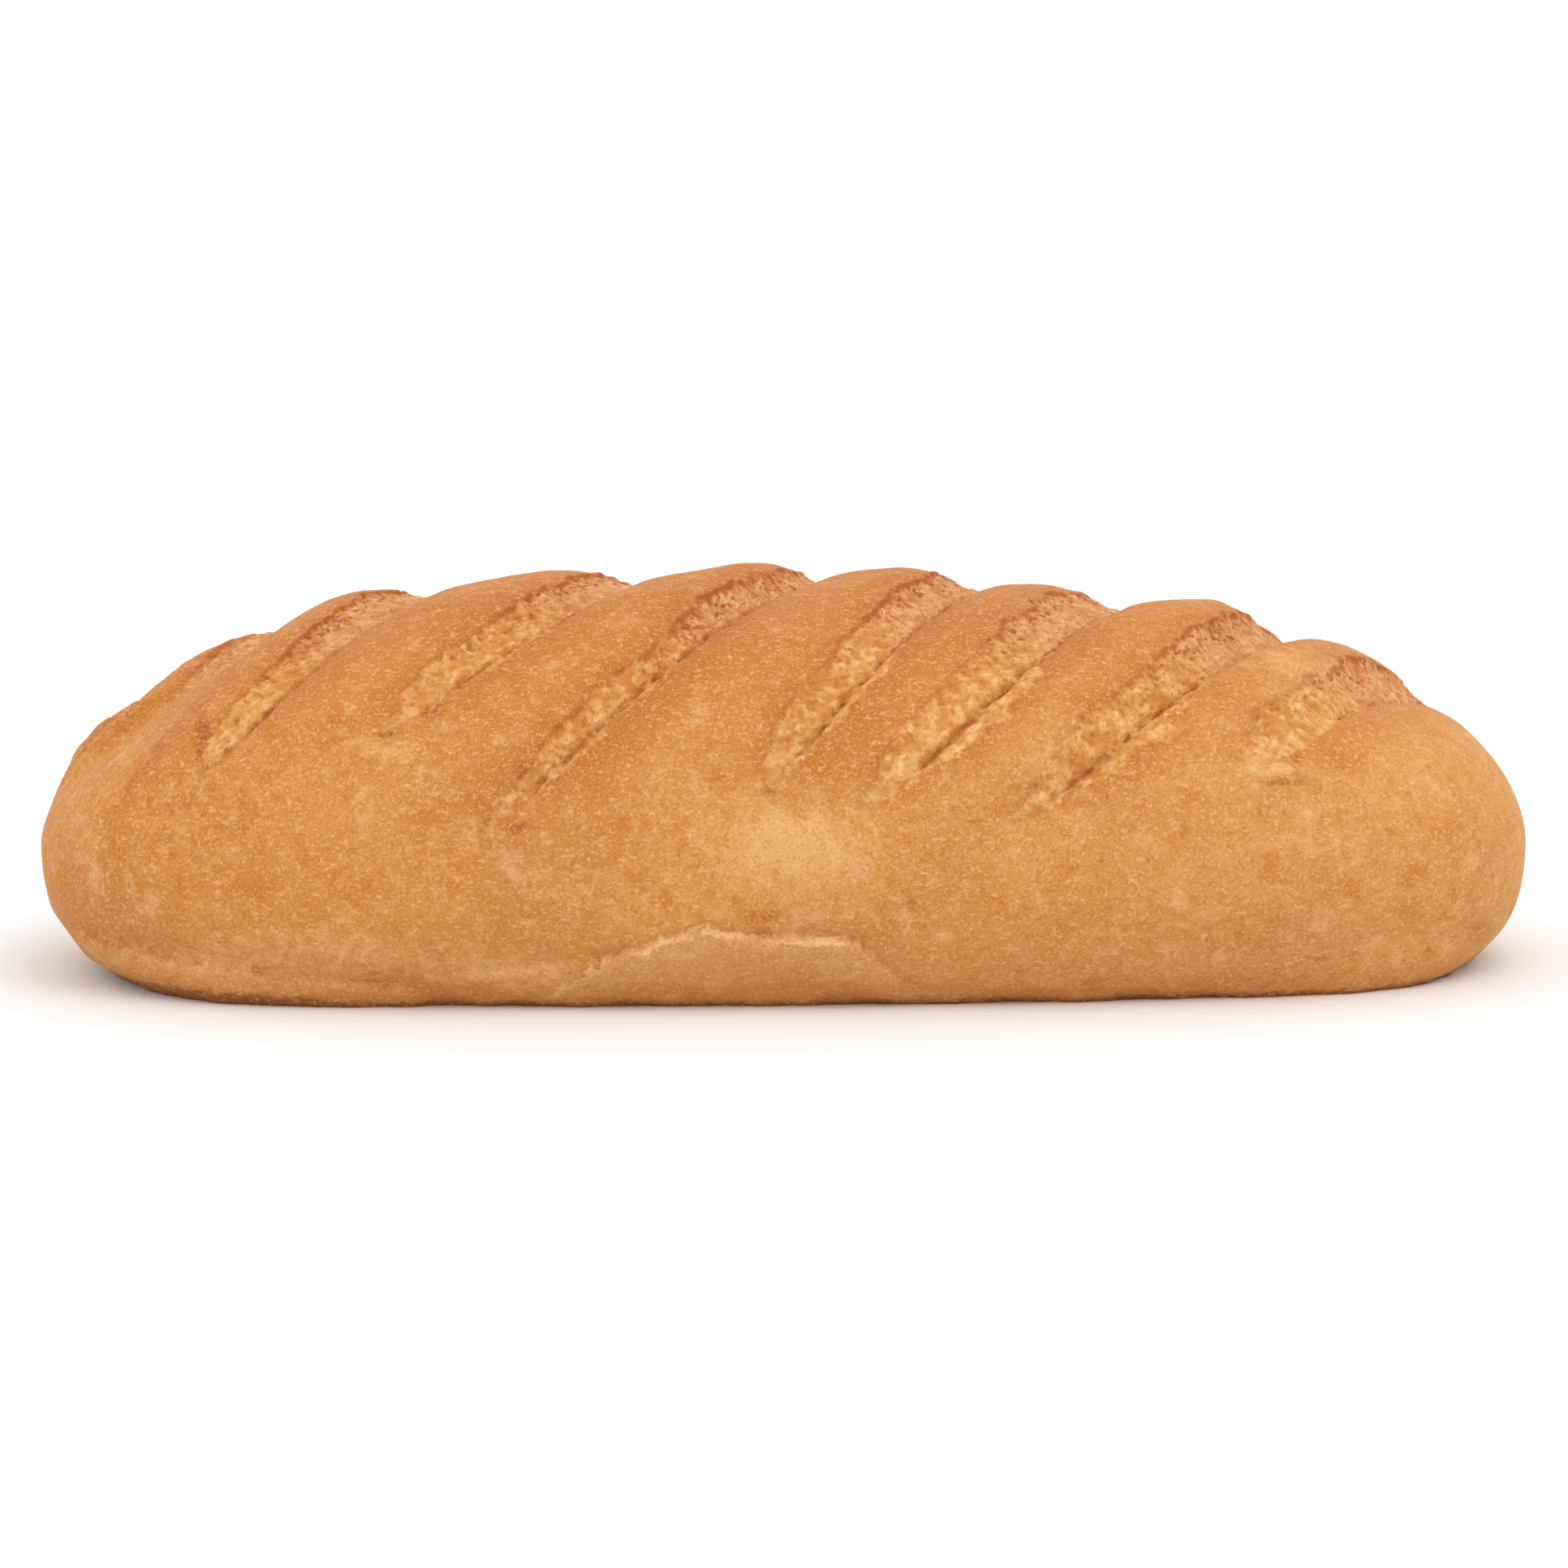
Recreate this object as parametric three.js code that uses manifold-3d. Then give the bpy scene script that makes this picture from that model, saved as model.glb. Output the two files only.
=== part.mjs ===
// A bloomer loaf, baked as one piece: a long rounded form, flat underneath, with diagonal
// scores that have torn open across its top. Millimetres, +Z up, +X along the loaf, -Y the
// front. The origin is the middle of the flat base.
import * as THREE from 'three';
import { mergeVertices } from 'three/addons/utils/BufferGeometryUtils.js';
import Module from 'manifold-3d';

// Driving dimensions.
const LENGTH = 330;
const WIDTH = 138;
const CROWN_HEIGHT = 90;      // the plain form at mid length, before the scores swell it
const WIDEST_HEIGHT = 28;     // the level where the sides stand furthest out
const UNDERSIDE_DEPTH = 44;   // how far the round underside would hang below that, uncut

// How square each outline is: 2 is an ellipse, and larger numbers fill the corners.
const PLAN_POWER = 3.1;
const PROFILE_POWER = 2.05;
const UNDERSIDE_POWER_LEFT = 2.8;
const UNDERSIDE_POWER_RIGHT = 3.3;
const SECTION_POWER = 2.2;

// The dough stands a little fuller over the left third of the loaf.
const CROWN_LEVEL = 0.885;
const FULLER_BY = 0.13;
const FULLER_AT = -0.6;
const FULLER_SPREAD = 0.3;
const END_LIFT = 0.08;        // the right end stands higher than the left by twice this share
const FOOT_SPREAD = 6.5;      // the foot spreads on the sheet at the four corners by this much

// Each score: where its crevice crosses the ridge, how fast and how much faster it runs to
// the left going down the front, how many degrees of the section it reaches to the front
// and to the back, how wide it has torn, how deep the crevice is, and how far the crust on
// its left has swollen.
const SCORES = [
  { ridge: -142, lean: 0.50, curve: 0.0070, front: 10, back: 44, gape: 8, depth: 2.6, swell: 3.0 },
  { ridge: -118, lean: 0.50, curve: 0.0070, front: 14, back: 58, gape: 10, depth: 2.6, swell: 4.8 },
  { ridge: -83, lean: 0.52, curve: 0.0085, front: 48, back: 62, gape: 14, depth: 2.8, swell: 3.6 },
  { ridge: -35, lean: 0.52, curve: 0.0088, front: 54, back: 64, gape: 13, depth: 2.8, swell: 4.0 },
  { ridge: 1, lean: 0.58, curve: 0.0040, front: 79, back: 64, gape: 8, depth: 2.3, swell: 6.0 },
  { ridge: 41, lean: 0.46, curve: 0.0035, front: 71, back: 62, gape: 11, depth: 2.8, swell: 5.0 },
  { ridge: 74, lean: 0.46, curve: 0.0045, front: 76, back: 60, gape: 13, depth: 3.0, swell: 3.9 },
  { ridge: 111, lean: 0.54, curve: 0.0040, front: 79, back: 46, gape: 11, depth: 4.8, swell: 6.2 },
  { ridge: 143, lean: 0.62, curve: 0.0024, front: 60, back: 14, gape: 12, depth: 3.6, swell: 3.9 },
];
const PILLOW_RADIUS = 12;     // the crust rises out of each crevice over this length
const SWELL_LENGTH = 42;      // and the swelling left of each tear dies away over this one
const FADE = 0.25;            // part of each score that it takes to close at either end
const TAPER = 0.3;            // and part of it over which the tear narrows
const CLOSED_GAPE = 0.5;
const PLAIN_END = 0.1;        // the scores' relief dies away over this share of each half
const ROLL = 6.5;             // the crust rolls over into the tear from this far outside it
const ROLL_POWER = 1.35;
const SHALLOWER = 0.5;        // a score is this share shallower low on the front
const CORE_HALF_LENGTH = 110; // the swelling pushes away from a core line of this half length

// Mesh divisions along, across and up the loaf, how far its columns lean with the scores,
// as a share of the half length, and how far down the sides its top face reaches.
const ALONG = 70;
const ACROSS = 32;
const UPWARD = 9;
const COLUMN_LEAN = 0.35;
const TOP_FACE_REACH = 0.45;

const CRUST_COLOUR = '#d3955a';
const CRUST_ROUGHNESS = 0.7;

// Half-size of a rounded outline at place u, from -1 to 1 along it.
const outline = (u, power) => (1 - Math.abs(u) ** power) ** (1 / power);

const crown = (u) =>
  CROWN_LEVEL + FULLER_BY * Math.exp(-(((u - FULLER_AT) / FULLER_SPREAD) ** 2)) + END_LIFT * u ** 3;

const smooth = (t) => THREE.MathUtils.smoothstep(t, 0, 1);

// The plain form at u along the loaf and angle round its section, 0 at the ridge.
function plainForm(u, angle) {
  const side = -Math.sin(angle);
  const rise = Math.cos(angle);
  const size = (Math.abs(side) ** SECTION_POWER + Math.abs(rise) ** SECTION_POWER)
    ** (1 / SECTION_POWER);
  const above = (CROWN_HEIGHT - WIDEST_HEIGHT) * outline(u, PROFILE_POWER) * crown(u);
  const below = UNDERSIDE_DEPTH * outline(u, u < 0 ? UNDERSIDE_POWER_LEFT : UNDERSIDE_POWER_RIGHT);
  const z = WIDEST_HEIGHT + (rise > 0 ? above : below) * rise / size;
  const y = WIDTH / 2 * outline(u, PLAN_POWER) * side / size;
  const corner = smooth((Math.abs(u) - 0.5) / 0.3) * (1 - smooth((Math.abs(u) - 0.86) / 0.11));
  const spread = FOOT_SPREAD * corner * Math.sign(side) * smooth((14 - z) / 18);
  return new THREE.Vector3(LENGTH / 2 * u, y + spread, z);
}

// How far one score moves the surface out or in, at x along the loaf and girth round it.
function scoreRelief(score, x, girth) {
  const reach = girth > 0 ? girth / score.front : -girth / score.back;
  const shallow = 1 - SHALLOWER * smooth((girth - 8) / 30);
  const open = shallow * smooth((1 - reach) / FADE);
  const crevice = score.ridge - score.lean * girth - score.curve * Math.max(girth, 0) ** 2;
  const past = x - crevice;
  if (past > 0) {
    const down = 1 - Math.min(past / PILLOW_RADIUS, 1);
    return -score.depth * open * down ** 3;
  }
  const gape = score.gape * THREE.MathUtils.clamp((1 - reach) / TAPER, 0, 1) ** 0.6 + CLOSED_GAPE;
  const up = Math.min(-past / (gape + ROLL), 1);
  const swell = score.swell * (1 - smooth((-past - gape) / SWELL_LENGTH));
  return open * (swell - (score.swell + score.depth) * (1 - up) ** ROLL_POWER);
}

// The finished surface: the plain form, pushed out from the core by the scores' relief.
function loafSurface(u, angle) {
  const point = plainForm(u, angle);
  const girth = THREE.MathUtils.radToDeg(angle) * outline(u, PLAN_POWER);
  const relief = SCORES.reduce((sum, score) => sum + scoreRelief(score, point.x, girth), 0)
    * smooth((1 - Math.abs(u)) / PLAIN_END);
  const core = new THREE.Vector3(
    THREE.MathUtils.clamp(point.x, -CORE_HALF_LENGTH, CORE_HALF_LENGTH),
    0,
    WIDEST_HEIGHT,
  );
  return point.addScaledVector(point.clone().sub(core).normalize(), relief);
}

// A divided cube, with each point carried to the place on the loaf in its own direction.
function loafShell() {
  const box = new THREE.BoxGeometry(2, 2, 2, ALONG, ACROSS, UPWARD);
  box.deleteAttribute('normal');
  box.deleteAttribute('uv');
  const shell = mergeVertices(box);
  const places = shell.attributes.position;
  const place = new THREE.Vector3();
  for (let i = 0; i < places.count; i += 1) {
    place.fromBufferAttribute(places, i);
    const { x, y, z } = place;
    place.set(
      x * Math.sqrt(1 - y * y / 2 - z * z / 2 + y * y * z * z / 3),
      y * Math.sqrt(1 - z * z / 2 - x * x / 2 + z * z * x * x / 3),
      z * Math.sqrt(1 - x * x / 2 - y * y / 2 + x * x * y * y / 3),
    );
    const angle = Math.atan2(-place.y, place.z * TOP_FACE_REACH);
    const off = Math.hypot(place.y, place.z);
    const span = (Math.abs(place.x) ** PLAN_POWER + off ** PLAN_POWER) ** (1 / PLAN_POWER);
    const straight = place.x / span;
    const leaning = straight - COLUMN_LEAN * Math.sin(angle) * (1 - straight * straight);
    const point = loafSurface(leaning, angle);
    places.setXYZ(i, point.x, point.y, point.z);
  }
  return shell;
}

const wasm = await Module();
wasm.setup();

function solidFrom(geometry) {
  const mesh = new wasm.Mesh({
    numProp: 3,
    vertProperties: new Float32Array(geometry.attributes.position.array),
    triVerts: new Uint32Array(geometry.index.array),
  });
  return new wasm.Manifold(mesh);
}

function geometryFrom(solid) {
  const mesh = solid.getMesh();
  const geometry = new THREE.BufferGeometry();
  geometry.setAttribute('position', new THREE.BufferAttribute(mesh.vertProperties, 3));
  geometry.setIndex(new THREE.BufferAttribute(mesh.triVerts, 1));
  geometry.computeVertexNormals();
  return geometry;
}

// Everything below the baking sheet, cut away to leave the flat base at z = 0.
function bakingSheet() {
  const block = new THREE.BoxGeometry(2 * LENGTH, 2 * WIDTH, 2 * UNDERSIDE_DEPTH);
  block.translate(0, 0, -UNDERSIDE_DEPTH);
  block.deleteAttribute('normal');
  block.deleteAttribute('uv');
  return mergeVertices(block);
}

const crust = new THREE.MeshStandardMaterial({
  color: CRUST_COLOUR,
  roughness: CRUST_ROUGHNESS,
  metalness: 0,
});
const loaf = new THREE.Mesh(
  geometryFrom(solidFrom(loafShell()).subtract(solidFrom(bakingSheet()))),
  crust,
);
loaf.name = 'loaf';

const bloomer = new THREE.Group();
bloomer.add(loaf);

export default bloomer;
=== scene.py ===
"""A bloomer loaf: crust, torn scores and baked base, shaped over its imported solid."""

import math

import bpy
import numpy as np
from bpy.props import FloatProperty, FloatVectorProperty, IntProperty, PointerProperty
from bpy.types import Operator, Panel, PropertyGroup
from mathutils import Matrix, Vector, noise


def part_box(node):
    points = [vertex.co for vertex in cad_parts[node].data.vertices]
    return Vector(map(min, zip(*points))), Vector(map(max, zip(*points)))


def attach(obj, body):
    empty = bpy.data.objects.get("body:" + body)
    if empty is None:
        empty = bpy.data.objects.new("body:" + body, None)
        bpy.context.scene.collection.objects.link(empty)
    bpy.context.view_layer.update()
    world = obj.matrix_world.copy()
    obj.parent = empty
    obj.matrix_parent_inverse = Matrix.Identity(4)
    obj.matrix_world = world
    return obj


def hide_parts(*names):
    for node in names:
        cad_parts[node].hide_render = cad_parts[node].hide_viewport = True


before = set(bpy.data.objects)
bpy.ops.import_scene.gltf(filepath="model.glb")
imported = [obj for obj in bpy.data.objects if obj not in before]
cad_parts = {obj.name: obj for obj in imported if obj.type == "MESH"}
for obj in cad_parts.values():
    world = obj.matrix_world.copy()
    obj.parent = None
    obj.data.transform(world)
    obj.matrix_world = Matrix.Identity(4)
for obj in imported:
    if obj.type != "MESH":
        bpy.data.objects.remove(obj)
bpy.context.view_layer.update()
LOAF_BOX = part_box("loaf")

bl_info = {
    "name": "Bloomer Loaf",
    "version": (1, 0, 0),
    "blender": (4, 5, 0),
    "location": "3D View > Sidebar > Bakery",
    "description": "Shapes a slashed bloomer loaf and sets it on a plain stage",
    "category": "Add Mesh",
}

MM = 0.001
LENGTH_MM = (LOAF_BOX[1][0] - LOAF_BOX[0][0]) / MM
WIDTH_MM = (LOAF_BOX[1][1] - LOAF_BOX[0][1]) / MM

# How square each outline is: 2 is an ellipse, and larger numbers fill the corners.
PLAN_POWER = 3.1
PROFILE_POWER = 2.05
UNDERSIDE_POWER_LEFT = 2.8
UNDERSIDE_POWER_RIGHT = 3.3
SECTION_POWER = 2.2

# The dough stands a little fuller over the left third, and the right end is the taller one.
CROWN_LEVEL = 0.885
FULLER_BY = 0.13
FULLER_AT = -0.6
FULLER_SPREAD = 0.3
END_LIFT = 0.08
# The foot spreads on the baking sheet at the four corners by this much.
FOOT_SPREAD = 6.5

# Each score, in millimetres and degrees round the section: where its crevice crosses the
# ridge, how it leans and curves to the left down the front, how far it reaches to the front
# and the back, how wide it has torn, how deep the crevice is, how far the crust swells beside
# it, and how far the torn crumb carries on past the crevice near its front end.
SCORE_PARTS = ("ridge", "lean", "curve", "front", "back", "gape", "depth", "swell", "spill")
SCORES = tuple(dict(zip(SCORE_PARTS, parts)) for parts in (
    (-142, 0.50, 0.0070, 10, 44, 8, 2.6, 3.0, 0.0),
    (-118, 0.50, 0.0070, 14, 58, 10, 2.6, 4.8, 0.0),
    (-83, 0.52, 0.0085, 48, 62, 14, 2.8, 3.6, 0.0),
    (-35, 0.52, 0.0088, 54, 64, 13, 2.8, 4.0, 2.5),
    (1, 0.58, 0.0040, 79, 64, 8, 2.3, 6.0, 2.5),
    (41, 0.46, 0.0035, 71, 62, 11, 2.8, 5.0, 3.0),
    (74, 0.46, 0.0045, 76, 60, 13, 3.0, 3.9, 4.5),
    (111, 0.54, 0.0040, 79, 46, 11, 4.8, 6.2, 5.0),
    (143, 0.62, 0.0024, 60, 14, 12, 3.6, 3.9, 1.5),
))

# Creases in the front, in millimetres along and up: the fold over the foot at the left end,
# the edge of the skin that tore and stretched low down, and two soft folds below the last long
# score. Each has a groove so deep and so wide, a step below it, outward or, where it is
# negative, inward, and so much thin skin below that. It grows from nothing over a length at
# its left end.
CREASE_PARTS = ("path", "groove", "spread", "step", "thin", "growth")
FOOT_FOLD = ((-160, 14), (-140, 11.5), (-120, 9), (-100, 7), (-78, 4))
TORN_SKIN = (
    (-90, 8), (-66, 9), (-55, 11), (-40, 12.5), (-29, 17), (-20, 19.5), (-9, 17.5),
    (4, 17.5), (12, 16), (19, 10), (26, 3),
)
CREASES = tuple(dict(zip(CREASE_PARTS, parts)) for parts in (
    (FOOT_FOLD, 0.9, 3.6, 1.8, 0.5, 8),
    (TORN_SKIN, 0.7, 1.2, 0.7, 0.75, 55),
    (((95, 65), (101, 58), (108, 50)), 1.8, 2.2, 0.0, 0.0, 6),
    (((98, 49.5), (108, 48.5), (116, 43)), 1.3, 1.2, -1.0, 0.0, 4),
))
# A crease dies away over CREASE_END at its right end. Where it has died away, or is off the
# front, OFF_CREASE is taken from how far the skin there counts as stretched.
CREASE_END = 6.0
OFF_CREASE = 30.0

# Spots on the front: place along and up, half-width and half-height, paler or browner by.
SPOTS = (
    (-2, 37, 17, 9, 0.7), (-60, 8, 18, 5, 0.45), (10, 11, 9, 6, 0.3), (-88, 57, 9, 5, 0.4),
    (-151, 32, 6, 14, 0.35), (101, 54, 6, 4, 0.4), (-115, 16, 22, 5, 0.3),
    # The spot at 56 along and 54 up is a painted highlight on the lower face of a pillow.
    (112, 36, 14, 7, 0.25), (122, 76, 22, 12, 0.8), (95, 84, 12, 8, 0.4), (56, 54, 9, 9, 0.4),
    (-48, 28, 18, 8, 0.2), (-84, 13, 18, 5, 0.2), (-125, 9, 28, 4, 0.35),
    # The spot at 104 along and 48.4 up is a painted shadow under the curled flap above it.
    (103, 50.8, 6, 1, 0.9), (104, 48.4, 6, 0.8, -0.8), (108, 54, 1.5, 3, -0.8),
    (-130, 44, 26, 18, -0.25), (-8, 22, 4.5, 1.6, -0.6), (-7, 48, 3.5, 1.8, -0.7),
    (-57, 52, 3, 2, -0.8), (-60, 41, 3.5, 1.6, -0.6), (23, 24, 2.2, 1.8, -0.5),
    (-78, 64, 3.5, 2, -0.6), (30, 42, 2, 1.2, -0.5), (-127, 57, 1.4, 4, -0.7),
    (-88, 59.5, 3, 1.8, -0.8),
)
# A spot browner than SPOT_TINT is also a dent, this deep for each part that it is browner.
SPOT_TINT = 0.3
SPOT_DEPTH = 0.8

# The crust rises out of each crevice over PILLOW_RADIUS, rolls over the other side of the
# tear from ROLL outside it, and the swelling there dies away over SWELL_LENGTH. A score takes
# the share FADE of its reach to close at either end, and TAPER to narrow. It is SHALLOWER by
# a share low on the front, and its relief dies away over PLAIN_END of each half.
PILLOW_RADIUS = 12.0
SWELL_LENGTH = 42.0
FADE = 0.25
TAPER = 0.3
CLOSED_GAPE = 0.5
ROLL = 6.5
ROLL_POWER = 1.35
SHALLOWER = 0.5
PLAIN_END = 0.1
CORE_HALF_LENGTH = 110.0

# The torn lip: the step down from it and how wide that is, how far it curls and rises in
# knobs, and the share of all this that is left low on the front.
LIP_STEP = 0.6
LIP_STEP_WIDTH = 0.6
LIP_CURL = 0.45
LIP_CURL_WIDTH = 2.0
KNOB_HEIGHT = 1.3
KNOB_SIZE = 2.4
KNOB_WIDTH = 1.5
LOW_LIP = 0.25
# The narrow crevice, and the ridge of crumb that carries on past it.
GROOVE_DEPTH = 1.15
GROOVE_WIDTH = 0.9
SPILL_HEIGHT = 0.7

# How the lines of a score wander: by how much, over what length, and from which of its seeds.
CREVICE_WAVES = ((0.7, 9, 0), (0.35, 1.8, 2))
KINK = 1.2
KINK_LENGTH = 4.5
LIP_WAVES = ((1.6, 11, 3), (1.3, 4, 4), (0.8, 1.7, 5))
# Soft lumps over the crust, and waves along the foot: by how much, how far apart, and seed.
LUMPS = ((0.9, 42, 1), (0.35, 15, 2), (0.12, 5, 3))
FOOT_WAVES = ((1.3, 13, 9), (0.7, 5, 10))
# Pleats where the dough was pinched at the left end, and the torn crumb's flakes and pits.
PINCH = 0.5
CRUMB_HEIGHT = 1.1
PIT_DEPTH = 0.7

# How far from a lip the crust browns and the crumb carries painted shade, and past which
# distances the fields for the lip and the crevice say no more.
BROW_WIDTH = 7.0
UNDER_WIDTH = 9.0
UNDER_LAP = 1.5
SCORE_NEAR = 12.0
RIM_CAP = 6.0
SEAM_CAP = 16.0

# The blank is a cube cut into these slabs, and each slab's faces are divided by CUTS. Its
# edges at 45 and 135 degrees round the section are carried to these angles on the loaf.
SLABS = (7, 4, 2)
CUTS = 70
TOP_EDGE = 80.0
FOOT_EDGE = 153.0
COLUMN_LEAN = 0.35

# Length in millimetres of one degree round the section, near enough, for distances.
DEGREE_MM = 1.2
# The distance given to a point that a score doesn't reach.
FAR = 40.0

# The stage: the paper's side in metres, the strength of the light all round, each lamp's
# name, place, side and power, and the width of the camera's sensor in millimetres.
PAPER_SIZE = 30
DAYLIGHT = 1.15
LAMPS = (
    ("key", (0.4, -0.75, 1.35), 0.8, 4.4),
    ("fill", (-0.9, -1.1, 0.8), 1.2, 1.0),
)
SENSOR_WIDTH = 36.0


def linear(hex_colour):
    """An sRGB hex colour as the linear red, green and blue that the shader wants."""
    channels = [int(hex_colour[i:i + 2], 16) / 255 for i in (1, 3, 5)]
    return [c / 12.92 if c <= 0.04045 else ((c + 0.055) / 1.055) ** 2.4 for c in channels]


def add_node(tree, kind, settings=None, inputs=()):
    """Adds a node with its settings, and gives its inputs values or links.

    Inputs go by name, or in order to those that the node shows. A node given as an input
    stands for the first output that it shows.
    """
    node = tree.nodes.new(kind)
    for name, value in (settings or {}).items():
        setattr(node, name, value)
    if isinstance(inputs, dict):
        pairs = [(node.inputs[name], value) for name, value in inputs.items()]
    else:
        pairs = zip([socket for socket in node.inputs if socket.enabled], inputs)
    for socket, value in pairs:
        if isinstance(value, bpy.types.Node):
            value = next(output for output in value.outputs if output.enabled)
        if isinstance(value, bpy.types.NodeSocket):
            tree.links.new(value, socket)
        else:
            socket.default_value = value
    return node


# ---------------------------------------------------------------- the shape, in millimetres


def smooth(t):
    t = np.clip(t, 0.0, 1.0)
    return t * t * (3.0 - 2.0 * t)


def outline(u, power):
    """Half-size of a rounded outline at place u, from -1 to 1 along it."""
    return np.clip(1.0 - np.abs(u) ** power, 0.0, 1.0) ** (1.0 / power)


def crown(u):
    fuller = FULLER_BY * np.exp(-(((u - FULLER_AT) / FULLER_SPREAD) ** 2))
    return CROWN_LEVEL + fuller + END_LIFT * u ** 3


def noise_at(points, size, seed):
    """Smooth noise, about -1 to 1, with features about size apart, at each row of points."""
    shift = np.array((17.3, -9.1, 5.7)) * (seed + 1)
    return np.array([noise.noise(Vector(p)) for p in points / size + shift])


def noises_at(points, parts):
    """Several noises added up, each given by its amount, its size and its seed."""
    return sum(amount * noise_at(points, size, seed) for amount, size, seed in parts)


def wander(girth, size, seed):
    """Smooth noise along a score, looked up from a fine line of samples."""
    line = np.arange(-190.0, 190.0, size / 8)
    places = np.stack([line, 0 * line, 0 * line], axis=1)
    return np.interp(girth, line, noise_at(places, size, seed))


def waves(girth, parts, seed):
    """Several wanderings added up, each given by its amount, its size and its seed's place."""
    return sum(amount * wander(girth, size, seed + offset) for amount, size, offset in parts)


def spread_on_loaf(cube):
    """Where each point of the cube lands: place along the loaf and angle round it."""
    x, y, z = cube.T
    ball_x = x * np.sqrt(1 - y * y / 2 - z * z / 2 + y * y * z * z / 3)
    ball_y = y * np.sqrt(1 - z * z / 2 - x * x / 2 + z * z * x * x / 3)
    ball_z = z * np.sqrt(1 - x * x / 2 - y * y / 2 + x * x * y * y / 3)
    turned = np.degrees(np.arctan2(-ball_y, ball_z))
    carried = np.interp(np.abs(turned), (0, 45, 135, 180), (0, TOP_EDGE, FOOT_EDGE, 180))
    angle = np.radians(np.copysign(carried, turned))
    off = np.hypot(ball_y, ball_z)
    span = (np.abs(ball_x) ** PLAN_POWER + off ** PLAN_POWER) ** (1 / PLAN_POWER)
    straight = ball_x / span
    leaning = straight - COLUMN_LEAN * np.sin(angle) * (1 - straight * straight)
    return leaning, angle


def plain_form(u, angle, sizes):
    """The loaf before it is scored."""
    side = -np.sin(angle)
    rise = np.cos(angle)
    size = (np.abs(side) ** SECTION_POWER + np.abs(rise) ** SECTION_POWER) ** (1 / SECTION_POWER)
    above = (sizes["crown"] - sizes["widest"]) * outline(u, PROFILE_POWER) * crown(u)
    hang = np.where(u < 0, UNDERSIDE_POWER_LEFT, UNDERSIDE_POWER_RIGHT)
    below = sizes["underside"] * outline(u, hang)
    z = sizes["widest"] + np.where(rise > 0, above, below) * rise / size
    y = sizes["width"] / 2 * outline(u, PLAN_POWER) * side / size
    corner = smooth((np.abs(u) - 0.5) / 0.3) * (1 - smooth((np.abs(u) - 0.86) / 0.11))
    y += FOOT_SPREAD * corner * np.sign(side) * smooth((14 - z) / 18)
    return np.stack([sizes["length"] / 2 * u, y, z], axis=1)


def seed_of(number):
    """The first noise seed of a score; each score uses ten."""
    return 100 + 10 * number


def score_lines(number, score, x, girth):
    """How each point lies to one score: its reach, its crevice, its width and its slant."""
    seed = seed_of(number)
    reach = np.where(girth > 0, girth / score["front"], -girth / score["back"])
    taper = np.clip((1 - reach) / TAPER, 0, 1) ** 0.6
    crevice = score["ridge"] - score["lean"] * girth
    crevice = crevice - score["curve"] * np.maximum(girth, 0) ** 2
    crevice = crevice + waves(girth, CREVICE_WAVES, seed)
    crevice = crevice + KINK * (np.abs(wander(girth, KINK_LENGTH, seed + 1)) - 1 / 3)
    widening = 1.2 * waves(girth, LIP_WAVES, seed) * (0.4 + 0.6 * taper)
    gape = np.maximum(score["gape"] * taper + widening, 0)
    gape = gape * smooth((1 - reach) / 0.04) + CLOSED_GAPE
    slope = (score["lean"] + 2 * score["curve"] * np.maximum(girth, 0)) / DEGREE_MM
    squared_up = 1 / np.sqrt(1 + slope * slope)
    return reach, x - crevice, gape, squared_up


def tear_score(number, score, x, girth):
    """One score: its relief, the push of its lip, and how each point lies to its lines."""
    reach, past, gape, squared_up = score_lines(number, score, x, girth)
    opened = smooth((1 - reach) / FADE)
    seam = past * squared_up
    lip = (-past - gape) * squared_up
    front = girth > 0

    # The valley: steep on its right, and rolling over into a swollen pillow on its left.
    down = 1 - np.clip(past / PILLOW_RADIUS, 0, 1)
    right = -score["depth"] * down ** 3
    up = np.clip(-past / (gape + ROLL), 0, 1)
    swell = score["swell"] * (1 - smooth((-past - gape) / SWELL_LENGTH))
    left = swell - (score["swell"] + score["depth"]) * (1 - up) ** ROLL_POWER
    shallow = 1 - SHALLOWER * smooth((girth - 8) / 30)
    relief = shallow * np.where(past > 0, right, left)

    # The crevice cuts deepest on the front, and the crumb lies a step below the torn lip.
    deepest = 0.25 + 0.75 * smooth((reach - 0.25) / 0.3) * front
    relief = relief - GROOVE_DEPTH * deepest * np.exp(-((seam / GROOVE_WIDTH) ** 2))
    crisp = LOW_LIP + (1 - LOW_LIP) * smooth((45 - girth) / 35)
    stepped = smooth(-lip / LIP_STEP_WIDTH) * (past < 0)
    stepped = stepped * (0.3 + 0.7 * np.clip(-past / gape, 0, 1))
    relief = opened * (relief - LIP_STEP * crisp * stepped)
    curl = opened * crisp * LIP_CURL * np.exp(-((lip / LIP_CURL_WIDTH) ** 2)) * smooth(gape / 7)
    knobs = np.maximum(wander(girth, KNOB_SIZE, seed_of(number) + 6), 0)
    knobs = knobs * np.exp(-((lip / KNOB_WIDTH) ** 2))
    relief = relief + KNOB_HEIGHT * opened * crisp * knobs

    # The torn crumb carries on a little past the crevice near the front end.
    beyond = np.maximum(reach - 1, 0) * np.where(front, score["front"], score["back"])
    spill = score["spill"] * smooth((reach - 0.3) / 0.3) * (1 - smooth((reach - 0.75) / 0.25))
    spill = spill * front * (1 + 0.7 * wander(girth, 4, seed_of(number)))
    tear = np.minimum(spill - seam, -lip) - beyond * DEGREE_MM
    relief = relief + SPILL_HEIGHT * smooth(seam / 1.6) * smooth((spill - seam) / 1.4)
    return relief, curl, seam, lip, tear, opened, reach


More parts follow.
